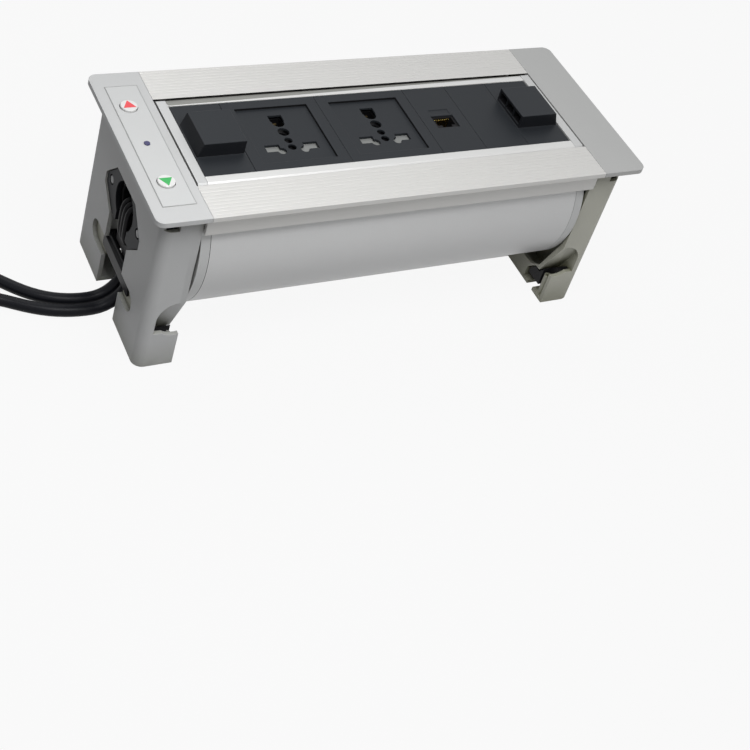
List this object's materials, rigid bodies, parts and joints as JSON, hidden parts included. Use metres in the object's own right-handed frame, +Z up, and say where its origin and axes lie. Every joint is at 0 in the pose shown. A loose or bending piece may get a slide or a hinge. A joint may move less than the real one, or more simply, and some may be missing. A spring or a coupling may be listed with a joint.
{
  "type": "motorised turn-over desk socket",
  "caption": "Motorised desk socket: a drum with mains outlets, network and data ports turns over in a long panel to show a plain lid; cords leave one end.",
  "frame": {"origin": "centre of the footprint, on the plane of the two end housings' feet", "axes": "+X along the panel away from the control end, +Y from the user to the back, +Z up; the drum is drawn with its sockets up"},
  "size_m": [0.593, 0.1471, 0.12],
  "materials": {
    "rail_metal": "satin",
    "end_grey": "satin",
    "drum_grey": "satin",
    "bezel_metal": "polished",
    "bar_metal": "satin",
    "black_plastic": "satin",
    "charcoal_plastic": "satin",
    "port_black": "gloss",
    "shutter_grey": "satin",
    "base_black": "matte",
    "contact_brass": "satin",
    "contact_gilt": "polished",
    "label_silver": "satin",
    "button_white": "gloss",
    "lamp_dark": "gloss",
    "board_green": "satin",
    "switch_black": "satin",
    "screw_steel": "satin",
    "gear_plastic": "satin",
    "pinion_brass": "satin",
    "motor_case": "satin",
    "cord_black": "gloss",
    "plug_black": "satin",
    "pin_brass": "polished"
  },
  "bodies": {
    "frame": {"end_housing_left": "end_grey", "end_housing_right": "end_grey", "bearing_plate_left": "black_plastic", "bearing_plate_right": "black_plastic", "drum_bush_left": "black_plastic", "drum_bush_right": "black_plastic", "bearing_screws": "screw_steel", "bush_screws": "screw_steel", "rail_front": "rail_metal", "rail_back": "rail_metal", "rail_screws": "screw_steel", "bottom_tie_bar": "bar_metal", "tie_bar_screws": "screw_steel", "control_label": "label_silver", "lamp_lens": "lamp_dark", "control_board": "board_green", "key_switches": "switch_black", "gear_motor": "motor_case", "cord_gland": "black_plastic", "cord_strap": "black_plastic", "power_lead": "cord_black", "power_coil": "cord_black", "power_plug": "plug_black", "power_plug_pins": "pin_brass", "data_lead": "cord_black", "data_coil": "cord_black", "data_plug": "plug_black", "claw_nut_front_left": "black_plastic", "claw_nut_back_left": "black_plastic", "claw_nut_front_right": "black_plastic", "claw_nut_back_right": "black_plastic"},
    "drum": {"drum_gear": "gear_plastic", "drum_shell_front": "drum_grey", "drum_shell_back": "drum_grey", "drum_lid": "drum_grey", "bezel_bar_front": "bezel_metal", "bezel_bar_back": "bezel_metal", "drum_cap_left": "drum_grey", "drum_cap_right": "drum_grey", "cap_screws": "screw_steel", "data_block_left": "charcoal_plastic", "data_block_right": "charcoal_plastic", "data_ports_left": "port_black", "data_ports_right": "port_black", "outlet_face_1": "charcoal_plastic", "outlet_face_2": "charcoal_plastic", "outlet_base_1": "base_black", "outlet_base_2": "base_black", "outlet_contacts_1": "contact_brass", "outlet_contacts_2": "contact_brass", "network_face": "charcoal_plastic", "network_jack": "port_black", "jack_contacts": "contact_gilt", "blank_face": "charcoal_plastic"},
    "pinion": {"motor_pinion": "pinion_brass"},
    "up_button": {"up_button": "button_white"},
    "down_button": {"down_button": "button_white"},
    "shutter_1": {"outlet_shutter_1": "shutter_grey"},
    "shutter_2": {"outlet_shutter_2": "shutter_grey"}
  },
  "joints": [
    {"name": "drum_turn", "type": "hinge", "parent": "frame", "child": "drum", "pos_m": [0, 0, 0.0697], "axis": [1, 0, 0], "range_deg": [0, 180]},
    {"name": "pinion_spin", "type": "hinge", "parent": "frame", "child": "pinion", "pos_m": [-0.1236, -0.03064, 0.04399], "axis": [1, 0, 0], "range_deg": [-720, 0]},
    {"name": "up_press", "type": "slide", "parent": "frame", "child": "up_button", "axis": [0, 0, -1], "range_m": [0, 0.0008], "stiffness_N_per_m": 800},
    {"name": "down_press", "type": "slide", "parent": "frame", "child": "down_button", "axis": [0, 0, -1], "range_m": [0, 0.0008], "stiffness_N_per_m": 800},
    {"name": "shutter_slide_1", "type": "slide", "parent": "drum", "child": "shutter_1", "axis": [0, -1, 0], "range_m": [0, 0.0074], "stiffness_N_per_m": 60},
    {"name": "shutter_slide_2", "type": "slide", "parent": "drum", "child": "shutter_2", "axis": [0, -1, 0], "range_m": [0, 0.0074], "stiffness_N_per_m": 60}
  ],
  "couplings": [
    {"joint": "pinion_spin", "follows": "drum_turn", "ratio": -4}
  ]
}
